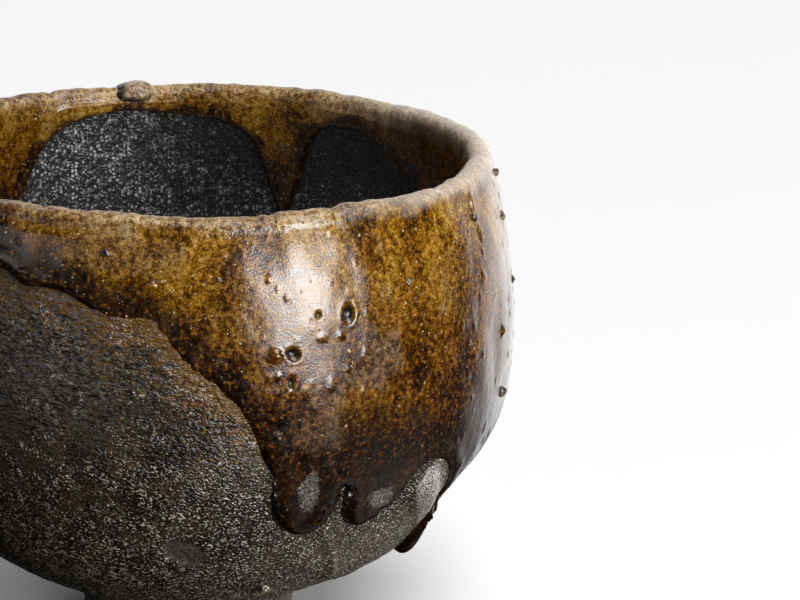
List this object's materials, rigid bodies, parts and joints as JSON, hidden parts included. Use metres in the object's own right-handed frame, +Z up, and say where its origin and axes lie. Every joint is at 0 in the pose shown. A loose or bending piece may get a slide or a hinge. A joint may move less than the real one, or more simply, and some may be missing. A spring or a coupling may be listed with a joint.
{
  "type": "tea bowl",
  "caption": "Round hand-formed stoneware tea bowl on a small foot ring, with runny ash glaze over the lip and bare gritty clay below.",
  "frame": {"origin": "centre of the foot ring's resting face", "axes": "+Z up through the bowl's mouth, -Y towards the front, where the longest glaze runs start"},
  "size_m": [0.1225, 0.1234, 0.0911],
  "materials": {
    "wall_clay": "dark gritty reduction-fired stoneware with glassy glints",
    "foot_clay": "dry trimmed stoneware, lighter than the wall",
    "ash_glaze": "glossy mottled amber ash glaze with pale specks",
    "inner_ash_glaze": "glossy amber ash glaze, darkening down the wall",
    "pooled_glaze": "thick glassy red-brown to black-brown glaze",
    "pebble": "ash-glazed pebble",
    "grain": "fused pale grain"
  },
  "bodies": {
    "root": {"clay_body": "wall_clay", "foot_ring": "foot_clay", "outer_glaze": "ash_glaze", "inner_glaze": "inner_ash_glaze", "glaze_drops": "pooled_glaze", "lip_stone": "pebble", "wall_grains": "grain"}
  },
  "joints": []
}
